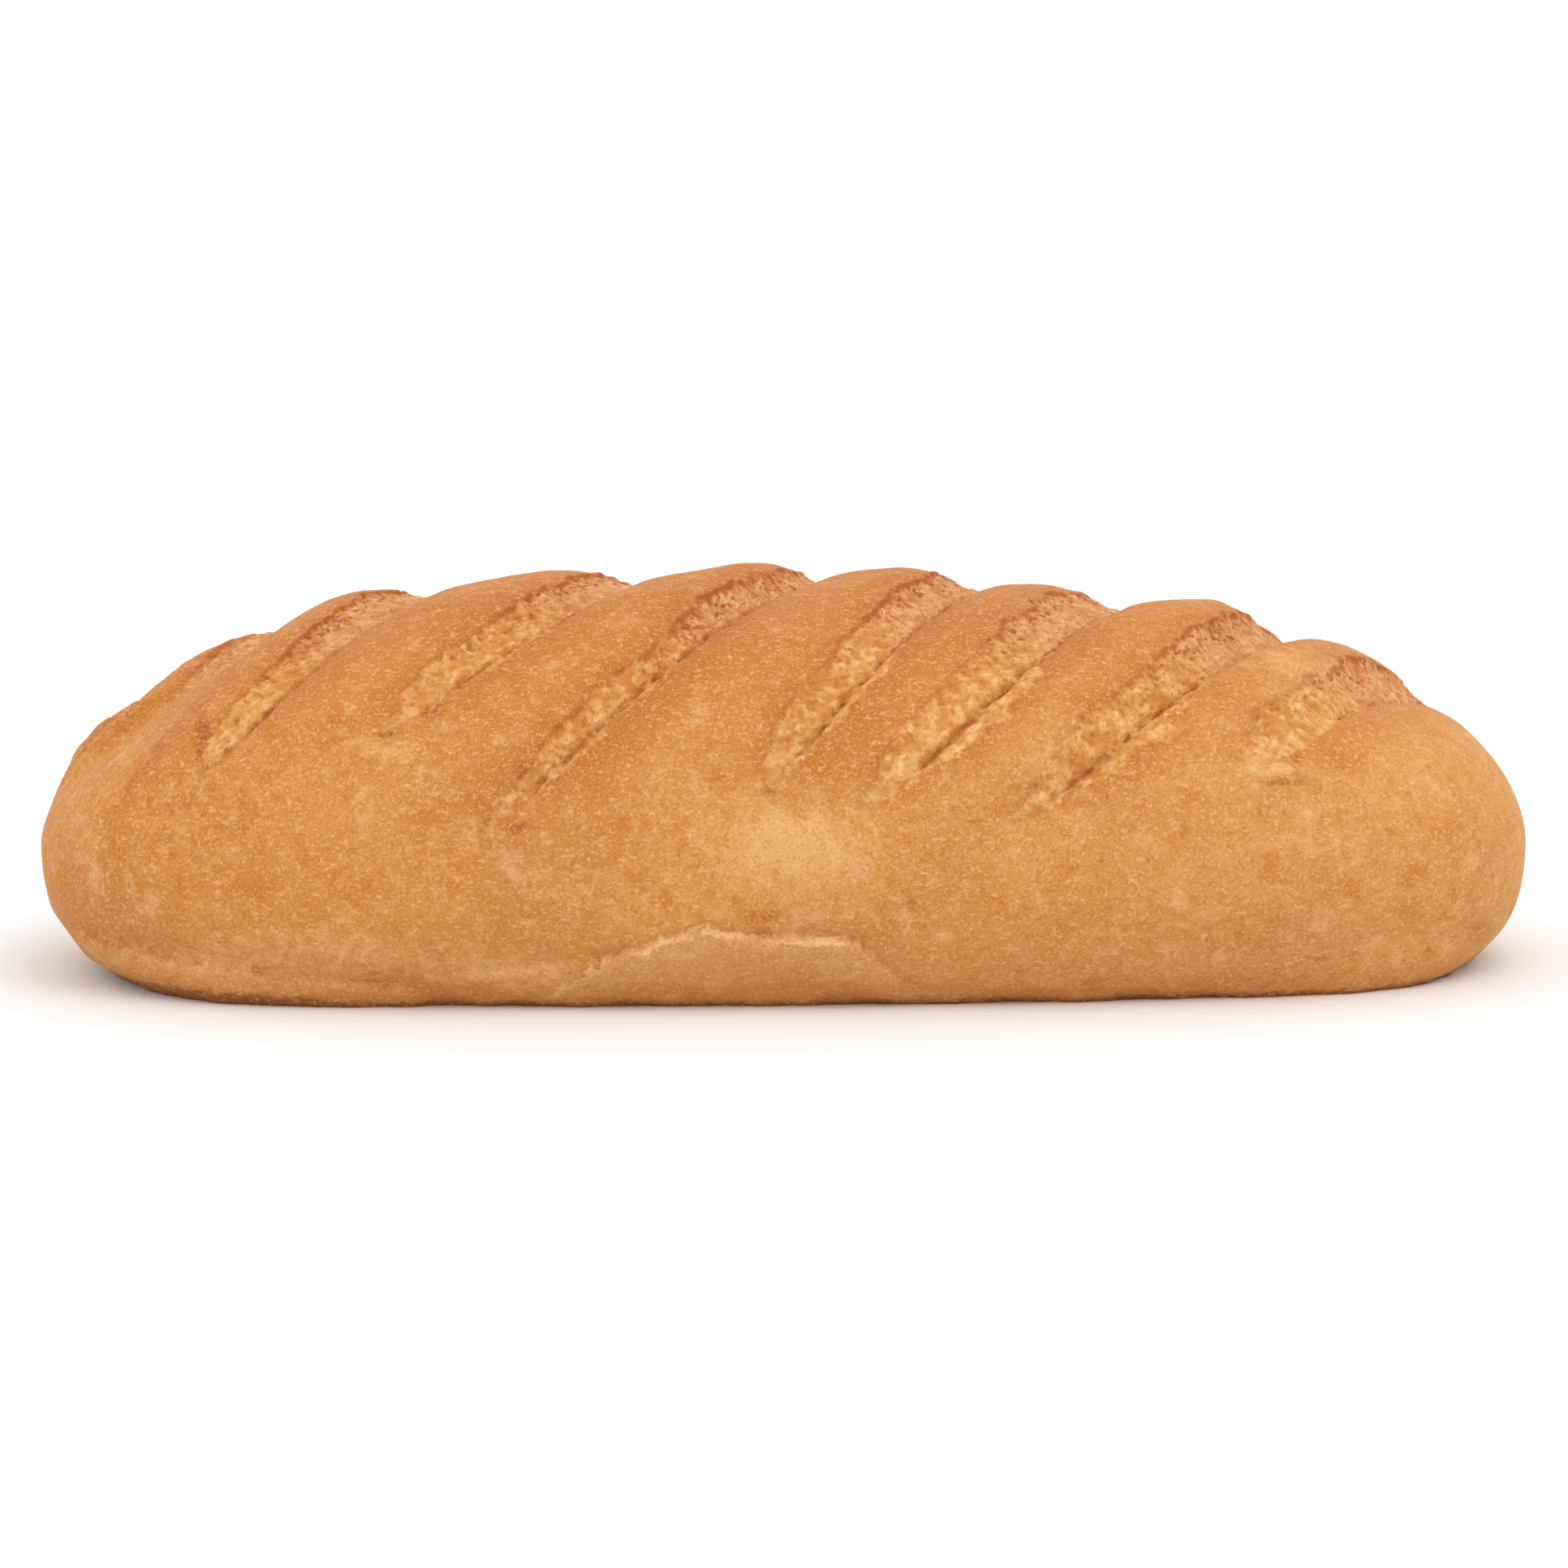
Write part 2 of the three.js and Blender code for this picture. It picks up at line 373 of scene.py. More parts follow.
def crease(number, line, x, z):
    """One crease: its relief, and how far below it the skin is, where it's stretched."""
    xs, zs = np.array(line["path"], dtype=float).T
    level = np.interp(x, xs, zs) + wander(x, 7, 300 + number) + 0.7 * wander(x, 2.4, 310 + number)
    slope = (zs[-1] - zs[0]) / (xs[-1] - xs[0])
    below = (level - z) / np.sqrt(1 + slope * slope)
    along = smooth((x - xs[0]) / line["growth"]) * smooth((xs[-1] - x) / CREASE_END)
    groove = line["groove"] * np.exp(-((below / line["spread"]) ** 2))
    step = line["step"] * smooth(below / 1.5) * (1 - smooth((below - 4) / 12))
    return along * (step - groove), below - OFF_CREASE * (1 - along)


def front_marks(points, girth):
    """Relief, tint and stretched skin of the creases and spots on the front of the loaf."""
    x, _, z = points.T
    front = smooth((girth - 8) / 15)
    relief = np.zeros(len(x))
    tint = np.zeros(len(x))
    stretch = np.full(len(x), -9.0)
    thin = np.zeros(len(x))
    for number, line in enumerate(CREASES):
        raised, below = crease(number, line, x, z)
        relief += raised * front
        if line["thin"]:
            below = np.minimum(below, 20) - OFF_CREASE * (1 - front)
            thin = np.where(below > stretch, line["thin"], thin)
            stretch = np.maximum(stretch, below)
    for place, level, wide, high, amount in SPOTS:
        spot = np.exp(-(((x - place) / wide) ** 2) - ((z - level) / high) ** 2)
        tint += amount * spot * front
        relief += SPOT_DEPTH * np.minimum(amount + SPOT_TINT, 0) * spot * front
    return relief, tint, stretch, thin


def score_fields(x, girth):
    """All the scores: their relief, the push of their lips, and fields to draw the crust by."""
    relief = np.zeros(len(x))
    curl = np.zeros(len(x))
    fields = {name: np.zeros(len(x)) for name in ("brow", "under", "open", "down")}
    fields["tear"] = np.full(len(x), -FAR)
    fields["seam"] = np.full(len(x), SEAM_CAP)
    fields["rim"] = np.full(len(x), RIM_CAP)
    for number, score in enumerate(SCORES):
        raised, pushed, seam, lip, tear, opened, reach = tear_score(number, score, x, girth)
        relief += raised
        curl += pushed
        down = np.clip(reach * (girth > 0), 0, 1.2)
        fields["down"] = np.where(tear > fields["tear"], down, fields["down"])
        fields["tear"] = np.maximum(tear, fields["tear"])
        fields["seam"] = np.minimum(np.abs(seam), fields["seam"])
        left = seam < 0
        fields["rim"] = np.where(left, np.minimum(np.abs(lip), fields["rim"]), fields["rim"])
        brow = (1 - smooth(lip / BROW_WIDTH)) * opened * left * (lip > -1)
        fields["brow"] = np.maximum(brow, fields["brow"])
        under = 1 - smooth(np.where(lip < 0, -lip / UNDER_WIDTH, lip / UNDER_LAP))
        fields["under"] = np.maximum(under * opened * left, fields["under"])
        near = (np.abs(seam) < SCORE_NEAR) | (np.abs(lip) < SCORE_NEAR)
        fields["open"] = np.where(near, np.maximum(opened, fields["open"]), fields["open"])
    return relief, curl, fields


def crumb_fields(points, girth, tear):
    """The torn crumb: how high its flakes stand, where its pits are, and where it is bare."""
    torn = tear > -1.5
    inside = points[torn]
    along = np.stack([inside[:, 0] * 0.8, girth[torn] * DEGREE_MM, 0 * girth[torn]], axis=1)
    crumb = np.zeros(len(points))
    crumb[torn] = 0.45 * noise_at(along, 5.0, 4) + 0.8 * np.abs(noise_at(along, 2.4, 5)) - 0.25
    crumb[torn] += 0.35 * noise_at(inside, 1.3, 6)
    pits = np.zeros(len(points))
    pits[torn] = smooth((noise_at(inside, 1.8, 7) - 0.25) / 0.25)
    return crumb, pits, smooth(tear + 0.3)


def dough_lumps(points, u):
    """Soft lumps in the dough, waves where it sat on the sheet, and pleats at the left end."""
    x, _, z = points.T
    rising = np.clip(smooth((1 - np.abs(u)) / PLAIN_END) + 0.3, 0, 1)
    wavy = noises_at(points * (1, 1, 0), FOOT_WAVES) * smooth((5 - z) / 6)
    pleats = noise_at(points * (1, 1, 0.25), 4.5, 8) * smooth((-x - 138) / 12)
    return noises_at(points, LUMPS) * rising + wavy + PINCH * pleats


def scored_form(u, angle, sizes):
    """The scored loaf: its points, and the fields in millimetres that the crust is drawn by."""
    points = plain_form(u, angle, sizes)
    x = points[:, 0]
    girth = np.degrees(angle) * outline(u, PLAN_POWER)
    relief, curl, fields = score_fields(x, girth)
    plain = smooth((1 - np.abs(u)) / PLAIN_END)
    crumb, pits, bare = crumb_fields(points, girth, fields["tear"])
    pits = pits * fields["under"] * bare * smooth((60 - girth) / 30)
    marked, fields["tint"], fields["stretch"], fields["thin"] = front_marks(points, girth)
    fields["crumb"] = crumb
    fields["pits"] = pits

    core = np.stack([
        np.clip(x, -CORE_HALF_LENGTH, CORE_HALF_LENGTH),
        np.zeros(len(u)),
        np.full(len(u), sizes["widest"]),
    ], axis=1)
    outward = points - core
    outward /= np.linalg.norm(outward, axis=1, keepdims=True)
    moved = relief * plain + dough_lumps(points, u) + marked
    moved += CRUMB_HEIGHT * crumb * bare - PIT_DEPTH * pits
    shaped = points + outward * moved[:, None]
    shaped[:, 0] += curl * plain
    return shaped, fields


# ---------------------------------------------------------------- modelling


def select_none():
    if bpy.context.object and bpy.context.object.mode != "OBJECT":
        bpy.ops.object.mode_set(mode="OBJECT")
    bpy.ops.object.select_all(action="DESELECT")


def loaf_blank():
    """A cube with no bottom, cut into slabs and divided, ready to be shaped."""
    select_none()
    bpy.ops.mesh.primitive_cube_add(size=2)
    blank = bpy.context.object
    bpy.ops.object.mode_set(mode="EDIT")
    bpy.ops.mesh.select_mode(type="FACE")
    bpy.ops.mesh.select_all(action="DESELECT")
    bpy.ops.object.mode_set(mode="OBJECT")
    for face in blank.data.polygons:
        face.select = face.normal.z < -0.5
    bpy.ops.object.mode_set(mode="EDIT")
    bpy.ops.mesh.delete(type="FACE")
    for axis, slabs in enumerate(SLABS):
        for cut in range(1, slabs):
            place = Vector()
            place[axis] = -1 + 2 * cut / slabs
            direction = Vector()
            direction[axis] = 1
            bpy.ops.mesh.select_all(action="SELECT")
            bpy.ops.mesh.bisect(plane_co=place, plane_no=direction)
    bpy.ops.mesh.select_all(action="SELECT")
    bpy.ops.mesh.subdivide(number_cuts=CUTS)
    bpy.ops.object.mode_set(mode="OBJECT")
    return blank


def shape_loaf(blank, sizes):
    """Carries the blank's points to the loaf and keeps the crust's fields on them."""
    mesh = blank.data
    cube = np.empty(len(mesh.vertices) * 3, dtype=np.float32)
    mesh.vertices.foreach_get("co", cube)
    u, angle = spread_on_loaf(cube.reshape(-1, 3).astype(float))
    points, fields = scored_form(u, angle, sizes)
    mesh.vertices.foreach_set("co", (points * MM).astype(np.float32).ravel())
    for name, values in fields.items():
        attribute = mesh.attributes.new(name, "FLOAT", "POINT")
        attribute.data.foreach_set("value", values.astype(np.float32))
    mesh.update()


def cut_base():
    """Cuts the shaped loaf's underside flat where it sat on the baking sheet, and closes it."""
    bpy.ops.object.mode_set(mode="EDIT")
    bpy.ops.mesh.select_all(action="SELECT")
    bpy.ops.mesh.bisect(plane_co=(0, 0, 0), plane_no=(0, 0, 1), use_fill=True, clear_inner=True)
    bpy.ops.mesh.select_all(action="SELECT")
    bpy.ops.mesh.remove_doubles(threshold=0.01 * MM)
    bpy.ops.mesh.normals_make_consistent(inside=False)
    bpy.ops.object.mode_set(mode="OBJECT")


def thin_mesh(piece, triangles):
    """Drops triangles where the surface is plain, down to the number asked for."""
    piece.data.calc_loop_triangles()
    modifier = piece.modifiers.new("thin", "DECIMATE")
    modifier.ratio = min(1.0, triangles / len(piece.data.loop_triangles))
    bpy.ops.object.modifier_apply(modifier=modifier.name)


# ---------------------------------------------------------------- materials


MATH = "ShaderNodeMath"
RANGE = "ShaderNodeMapRange"
MIX = "ShaderNodeMix"
EASED = {"interpolation_type": "SMOOTHSTEP"}
OVER = {"data_type": "RGBA"}
SHIFTED = {"data_type": "RGBA", "blend_type": "ADD"}
PLUS = {"operation": "ADD"}
MINUS = {"operation": "SUBTRACT"}
TIMES = {"operation": "MULTIPLY"}
TIMES_PLUS = {"operation": "MULTIPLY_ADD"}
LARGER = {"operation": "MAXIMUM"}
SIZE_OF = {"operation": "ABSOLUTE"}

# The fields that the mesh carries: how far inside a tear each point is, how far from the
# crevice and from the lip, how near above and below the lip, how open the score is there, how
# far down its front, how high the crumb stands, how much paler the crust is, how far into
# the stretched skin and how thin that is, and the pits under the lip.
MESH_FIELDS = (
    "tear", "seam", "rim", "brow", "under", "open", "down", "crumb", "tint", "stretch", "thin",
    "pits",
)

# Noises in the crust, from the slow drifts of baking to the finest grit: spacing in
# millimetres, detail, roughness, and how the pattern is squeezed along, across and upward.
EVEN = (1.0, 1.0, 1.0)
NOISES = (
    ("drift", 38, 3.0, 0.5, EVEN),
    ("broad", 14, 2.0, 0.5, EVEN),
    ("blotch", 8, 5.0, 0.65, EVEN),
    ("streak", 5, 4.0, 0.6, EVEN),
    ("gap", 4, 2.0, 0.5, EVEN),
    ("ragged", 3.0, 3.0, 0.6, EVEN),
    ("dimple", 3.0, 3.0, 0.55, EVEN),
    ("dab", 2.6, 3.0, 0.6, (0.8, 1.0, 1.2)),
    ("strands", 2.5, 4.0, 0.65, (0.4, 1.0, 1.3)),
    ("broken", 2.2, 1.0, 0.5, EVEN),
    ("hollow", 1.5, 1.0, 0.5, EVEN),
    ("swirl", 1.4, 2.0, 0.6, EVEN),
    ("pore", 1.3, 2.0, 0.6, (0.8, 1.0, 1.6)),
    ("pock", 1.2, 2.0, 0.55, EVEN),
    ("fleck", 0.9, 1.0, 0.5, (0.75, 1.0, 1.2)),
    ("grain", 0.8, 3.0, 0.6, EVEN),
    ("grit", 0.5, 2.0, 0.6, EVEN),
)
# Scales of torn crumb are so far apart, and their edges are bent by so many metres.
SCALE_MM = 3
SCALE_BEND = 0.004

# Fields worked out from others: a name, then the node that gives it and what goes into it.
WORKED_OUT = (
    # Noise round nothing, which frays the edge of each patch.
    ("fray", MATH, MINUS, "ragged", 0.5),
    ("frayed_tint", MATH, TIMES_PLUS, "fray", 1.1, "tint"),
    ("marred_tint", MATH, TIMES_PLUS, "fray", 1.3, "tint"),
    ("torn_skin", MATH, TIMES_PLUS, "fray", 9.0, "stretch"),
    # Cream along the torn skin's edge is partly painted highlight, and the rust line above it is
    # painted shade in its groove.
    ("skin_edge", MATH, MINUS, "torn_skin", 0.9),
    ("skin_edge", MATH, SIZE_OF, "skin_edge"),
    ("skin_margin", MATH, PLUS, "torn_skin", 0.5),
    ("skin_margin", MATH, SIZE_OF, "skin_margin"),
    # The foot, whose dark rim, partly baked on the sheet and partly painted shade, deepens under
    # the left end.
    ("foot", MATH, TIMES_PLUS, "fray", 0.003, "height"),
    ("deeper", RANGE, EASED, "x", -0.140, -0.075, 0.0022, 0.0),
    ("rim_of_foot", MATH, MINUS, "foot", "deeper"),
    # Crust beside a crevice is darker toast and ruddy, partly its own colour and partly painted
    # shade; on top it is baked ruddy.
    ("margin", RANGE, EASED, "seam", 1.0, 16.0, 0.75, 0.0),
    ("margin", MATH, TIMES, "margin", "open"),
    ("ruddy_margin", MATH, TIMES, "margin", 0.3),
    ("ruddy", RANGE, EASED, "height", 0.060, 0.088, 0.0, 0.14),
    ("ruddy", MATH, LARGER, "ruddy", "ruddy_margin"),
    ("fibre", MATH, MINUS, "swirl", 0.5),
    ("fibre", MATH, SIZE_OF, "fibre"),
    # Painted shade in the crumb's dented pits, and the crumb's edge, which frays more where the
    # score closes.
    ("pitted", MATH, TIMES, "pits", 0.6),
    ("fringe", RANGE, EASED, "open", 0.1, 0.9, 9.0, 4.0),
    ("bared", MATH, TIMES_PLUS, "fray", "fringe", "tear"),
    # Gaps in the burnt line along the lip and in the painted shade along the crevice.
    ("rim_gaps", RANGE, EASED, "gap", 0.50, 0.62, 0.0, 0.9),
    ("broken_rim", MATH, PLUS, "rim", "rim_gaps"),
    ("seam_gaps", RANGE, EASED, "gap", 0.56, 0.42, 0.0, 0.8),
    ("broken_seam", MATH, PLUS, "seam", "seam_gaps"),
    # The finest relief: grain and dimples all over, and flakes on the crumb.
    ("relief", MATH, TIMES_PLUS, "grain", 0.35, "dimple"),
    ("flakes", MATH, TIMES_PLUS, "scales", 0.8, "pock"),
    ("flakes", MATH, MINUS, "flakes", 0.85),
    ("flaky", RANGE, EASED, "tear", 0.0, 1.0, 0.0, -2.2),
    ("relief", MATH, TIMES_PLUS, "flakes", "flaky", "relief"),
)

# Layers of colour, from the lowest up. Each is laid on by the product of its masks. A mask is
# a field, the two values that it goes between, and how much is laid on at each of them. One
# without values is laid on by the field itself.
UP_ON_SCORE = (("down", 0.15, 0.6, 1.0, 0.35), ("x", -0.140, -0.110, 0.4, 1.0))
CRUST_LAYERS = (
    # Slow drifts of baking: browner to the left and on top, paler to the right.
    ("amber", ("drift", 0.35, 0.68, 0.0, 1.0)),
    ("toast", ("x", -0.030, -0.120, 0.0, 0.35)),
    ("pale", ("x", 0.020, 0.100, 0.0, 0.15)),
    ("toast", ("height", 0.045, 0.086, 0.0, 0.75)),
    # Blotches a finger's width apart, and dabs between them.
    ("toast", ("blotch", 0.50, 0.70, 0.0, 0.7)),
    ("fleck", ("blotch", 0.45, 0.28, 0.0, 0.4)),
    ("toast", ("dab", 0.54, 0.68, 0.0, 0.5)),
    ("pale", ("dab", 0.44, 0.32, 0.0, 0.4)),
    # Each pillow browns towards its torn lip, and beside a crevice it is darker, partly its own
    # toast and partly painted shade.
    ("brown", ("brow",), ("ragged", 0.3, 0.7, 0.12, 0.4), ("down", 0.3, 0.9, 1.0, 0.5)),
    ("toast", ("margin",)),
    ("rust", ("ruddy",), ("x", 0.060, 0.090, 1.0, 0.0)),
    # Spots of stretched skin are paler; the spot at 56 along and 54 up is a painted highlight on
    # the lower face of a pillow.
    ("pale", ("frayed_tint", 0.05, 0.65, 0.0, 0.9), ("tint", 0.02, 0.2, 0.0, 1.0)),
    # The skin that tore low down is pale in streaks, fading lower down partly by painted shade,
    # with a rust line of painted shade in the groove above its edge, and cream along its edge that
    # is partly pale fibres and partly painted highlight.
    ("skin", ("torn_skin", 0.0, 1.2, 0.0, 1.0), ("strands", 0.35, 0.6, 0.35, 1.0),
     ("stretch", 2.0, 13.0, 1.0, 0.15), ("thin",)),
    ("rust", ("skin_margin", 0.1, 0.8, 0.6, 0.0), ("blotch", 0.45, 0.6, 0.0, 1.0), ("thin",)),
    ("cream", ("skin_edge", 0.3, 1.4, 0.9, 0.0), ("thin", 0.5, 0.9, 0.0, 1.0),
     ("broad", 0.42, 0.6, 0.0, 1.0)),
    # Spots that caught the heat are browner; the spot at 104 along and 48.4 up is a painted shadow
    # under a curled flap.
    ("rust", ("marred_tint", -0.1, -0.7, 0.0, 0.7), ("tint", -0.03, -0.25, 0.0, 1.0)),
    # Along the foot the crust is darker, partly baked on the sheet and partly painted shade, and
    # darkest in a thin rim.
    ("toast", ("foot", 0.001, 0.009, 0.35, 0.0)),
    ("base", ("rim_of_foot", 0.0002, 0.0021, 0.9, 0.0)),
    # Fine grain, flecks of flour, curly pale fibres of dried dough and a few dark pores.
    ("fleck", ("grit", 0.50, 0.70, 0.0, 0.3)),
    ("brown", ("grit", 0.50, 0.32, 0.0, 0.4)),
    ("fleck", ("fleck", 0.60, 0.68, 0.0, 0.38)),
    ("fleck", ("fibre", 0.0, 0.025, 0.58, 0.0), ("broken", 0.47, 0.6, 0.0, 1.0)),
    ("brown", ("pore", 0.64, 0.76, 0.0, 0.45)),
)
CRUMB_LAYERS = (
    # Peach near the ridge, golden lower down, and creamy where the tear ends.
    ("honey", ("down", 0.1, 0.7, 0.0, 1.0)),
    ("cream", ("down", 0.6, 0.9, 0.0, 0.3)),
    ("honey", ("streak", 0.5, 0.7, 0.0, 0.4)),
    # Cream on the high flakes, partly their own colour and partly painted highlight, and painted
    # shade of toast between them and round the scales, with a veil of the crust's own colour.
    ("cream", ("crumb", 0.0, 0.5, 0.0, 0.5)),
    ("toast", ("crumb", -0.05, -0.4, 0.0, 0.5)),
    ("crust", (0.15,)),
    ("cream", ("scales", 0.42, 0.15, 0.0, 1.0), ("down", 0.3, 0.7, 0.2, 0.5)),
    ("toast", ("scales", 0.46, 0.72, 0.0, 0.4)),
    ("amber", ("x", 0.0, -0.080, 0.0, 0.1)),
    # Fine orange pits, closest together near the lip, and painted shade: rust in the dented pits,
    # toast under the lip, and rust in small dark hollows there.
    ("toast", ("pock", 0.57, 0.61, 0.0, 1.0), ("down", 0.3, 0.8, 0.8, 0.4)),
    ("rust", ("pitted",)),
    ("toast", ("under",), ("ragged", 0.4, 0.7, 0.0, 0.45)),
    ("rust", ("hollow", 0.59, 0.62, 0.0, 0.8), ("under", 0.1, 0.6, 0.0, 1.0), *UP_ON_SCORE),
)
TEAR_LAYERS = (
    ("bare crumb", ("bared", 0.0, 1.4, 0.0, 1.0), ("open", 0.0, 0.6, 0.3, 1.0)),
    # The ear's burnt edge, and painted shade in the crevice: thin dark lines that come and go.
    ("rust", ("broken_rim", 0.1, 0.9, 0.78, 0.0), ("open",), *UP_ON_SCORE),
    ("rust", ("broken_seam", 0.2, 0.9, 0.6, 0.0), ("open",)),
)


def crust_fields(tree):
    """All that the crust is painted by: places, the mesh's fields, noises and what they give."""
    place = add_node(tree, "ShaderNodeTexCoord").outputs["Object"]
    axes = add_node(tree, "ShaderNodeSeparateXYZ", None, (place,))
    fields = {"x": axes.outputs["X"], "height": axes.outputs["Z"]}
    for name in MESH_FIELDS:
        node = add_node(tree, "ShaderNodeAttribute", {"attribute_name": name})
        fields[name] = node.outputs["Fac"]
    for name, spacing, detail, roughness, squeeze in NOISES:
        vector = place
        if squeeze != EVEN:
            vector = add_node(tree, "ShaderNodeMapping", None, {"Vector": place, "Scale": squeeze})
        values = (vector, 1 / (spacing * MM), detail, roughness)
        fields[name] = add_node(tree, "ShaderNodeTexNoise", None, values)
    bending = add_node(tree, "ShaderNodeTexNoise", None, (place, 1 / (SCALE_MM * MM)))
    bent = add_node(tree, MIX, SHIFTED, (SCALE_BEND, place, bending.outputs["Color"]))
    fields["scales"] = add_node(tree, "ShaderNodeTexVoronoi", None, (bent, 1 / (SCALE_MM * MM)))
    for name, kind, settings, *values in WORKED_OUT:
        values = [fields.get(value, value) for value in values]
        fields[name] = add_node(tree, kind, settings, values)
    return fields


def paint(tree, fields, colours, under, layers):
    """Lays colours over one another, each by the product of its masks."""
    for name, *masks in layers:
        amount = None
        for field, *values in masks:
            mask = fields.get(field, field)
            if values:
                mask = add_node(tree, RANGE, EASED, (mask, *values))
            amount = mask if amount is None else add_node(tree, MATH, TIMES, (amount, mask))
        under = add_node(tree, MIX, OVER, (amount, under, colours[name]))
    return under


def baked_crust(swatches):
    """Baked wheat crust: golden where the dough stretched late, brown on lips and base.

    The eye reads it by its blotches, flecks and fibres, by the flaky crumb in the tears, and
    by its soft sheen. A little light sinks into it, which warms and softens its fine shadows.
    Some of its colour is painted light: painted shade in and beside the crevices, under the
    lips, among the crumb's pits and flakes, in the torn skin's groove, at the foot's rim and in
    one spot, and painted highlight on high flakes, the torn skin's edge and one spot.
    """
    material = bpy.data.materials.new("baked_wheat_crust")
    material.use_nodes = True
    tree = material.node_tree
    tree.nodes.clear()
    fields = crust_fields(tree)
    colours = {name: (*swatch, 1.0) for name, swatch in swatches.items()}
    colours["crust"] = paint(tree, fields, colours, colours["gold"], CRUST_LAYERS)
    colours["bare crumb"] = paint(tree, fields, colours, colours["crumb"], CRUMB_LAYERS)
    painted = paint(tree, fields, colours, colours["crust"], TEAR_LAYERS)
    bump = add_node(
        tree, "ShaderNodeBump", None,
        {"Strength": 0.6, "Distance": 0.6 * MM, "Height": fields["relief"]},
    )
    shader = add_node(
        tree, "ShaderNodeBsdfPrincipled", None,
        {"Base Color": painted, "Normal": bump, "Roughness": 0.65, "IOR": 1.45,
         "Specular IOR Level": 0.18, "Subsurface Weight": 0.15, "Subsurface Scale": 2.5 * MM,
         "Subsurface Radius": (1.0, 0.45, 0.2)},
    )
    add_node(tree, "ShaderNodeOutputMaterial", None, {"Surface": shader})
    return material


def matt_paper(colour):
    """Plain matt background paper: even, with no pattern that the eye can pick up."""
    material = bpy.data.materials.new("matt_paper")
    material.use_nodes = True
    tree = material.node_tree
    tree.nodes.clear()
    shader = add_node(
        tree, "ShaderNodeBsdfPrincipled", None,
        {"Base Color": (*colour, 1.0), "Roughness": 0.9, "Specular IOR Level": 0.2},
    )
    add_node(tree, "ShaderNodeOutputMaterial", None, {"Surface": shader})
    return material


# ---------------------------------------------------------------- settings


def colour_setting(name, description, hex_colour):
    return FloatVectorProperty(
        name=name, description=description, subtype="COLOR", size=3, min=0.0, max=1.0,
        default=linear(hex_colour),
    )


def length_setting(name, description, millimetres):
    return FloatProperty(
        name=name, description=description, subtype="DISTANCE", unit="LENGTH",
        default=millimetres * MM,
    )


class LoafSizes(PropertyGroup):
    """Sizes of the loaf."""

    length: length_setting("Length", "End to end", LENGTH_MM)
    width: length_setting("Width", "Across the widest line", WIDTH_MM)
    crown: length_setting("Crown", "Height of the plain form before it swells", 90)
    widest: length_setting("Widest height", "Level where the sides stand out most", 28)
    underside: length_setting("Underside", "How far the round underside would hang", 44)
    triangles: IntProperty(
        name="Triangles", description="How many triangles the finished loaf keeps",
        default=190000, min=20000,
    )


class LoafColours(PropertyGroup):
    """Colours of the crust and the torn crumb."""

    gold: colour_setting("Gold", "Crust that stretched late in the oven", "#ca8d46")
    amber: colour_setting("Amber", "Crust over most of the sides", "#c0803e")
    # Toast is also painted shade beside the crevices, under the lips and between the crumb's
    # flakes.
    toast: colour_setting("Toast", "Crust on the tops of the pillows", "#bb7026")
    brown: colour_setting("Brown", "Crust beside the torn lips, and pores", "#a45a24")
    # Base is partly painted shade along the foot's rim.
    base: colour_setting("Base", "Foot and underside, baked on the sheet", "#874a22")
    fleck: colour_setting("Fleck", "Fine dry flecks in the crust", "#e2b684")
    # Pale also makes one painted highlight spot on a pillow.
    pale: colour_setting("Pale", "Skin that stretched a little", "#d8a566")
    skin: colour_setting("Skin", "Skin that tore and stretched thin low down", "#ca985c")
    crumb: colour_setting("Crumb", "Torn crumb", "#d9a06e")
    honey: colour_setting("Honey", "Golden stretched crumb", "#dba25a")
    # Cream is partly painted highlight on the crumb's high flakes and the torn skin's edge.
    cream: colour_setting("Cream", "High fibres of the torn crumb", "#eec48e")
    # Rust is also painted shade in the dented pits and hollows under the lips, in the crevices, in
    # the torn skin's groove and in one spot.
    rust: colour_setting("Rust", "Pits under the lips, and the crevices", "#9c4a14")


class StageSettings(PropertyGroup):
    """The plain stage and the camera."""

    paper: colour_setting("Paper", "Background paper", "#f0f0f0")
    distance: length_setting("Camera distance", "From the middle of the loaf", 1300)
    aim_height: length_setting("Aim height", "Level that the camera looks at", 39.6)
    frame_width: length_setting("Frame width", "Width of the view at the loaf", 351)
    turn: FloatProperty(
        name="Turn", description="Camera's angle round the loaf, from the front",
        subtype="ANGLE", unit="ROTATION", default=math.radians(-2.9),
    )
    tilt: FloatProperty(
        name="Tilt", description="Camera's angle above the level", subtype="ANGLE",
        unit="ROTATION", default=math.radians(8.8),
    )


# ---------------------------------------------------------------- operators


class BLOOMER_OT_loaf(Operator):
    """Shape the loaf from a divided blank, tear its scores, cut its base and bake it"""

    bl_idname = "bloomer.loaf"
    bl_label = "Bake loaf"

    def execute(self, context):
        settings = context.scene.bloomer_sizes
        names = ("length", "width", "crown", "widest", "underside")
        sizes = {name: getattr(settings, name) / MM for name in names}
        loaf = loaf_blank()
        loaf.name = "bloomer"
        loaf.data.name = "bloomer"
        shape_loaf(loaf, sizes)
        cut_base()
        thin_mesh(loaf, settings.triangles)
        bpy.ops.object.shade_smooth_by_angle(angle=math.radians(75))
        colours = context.scene.bloomer_colours
        swatches = {name: tuple(getattr(colours, name)) for name in LoafColours.__annotations__}
        loaf.data.materials.append(baked_crust(swatches))
        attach(loaf, "root")
        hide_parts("loaf")
        return {"FINISHED"}


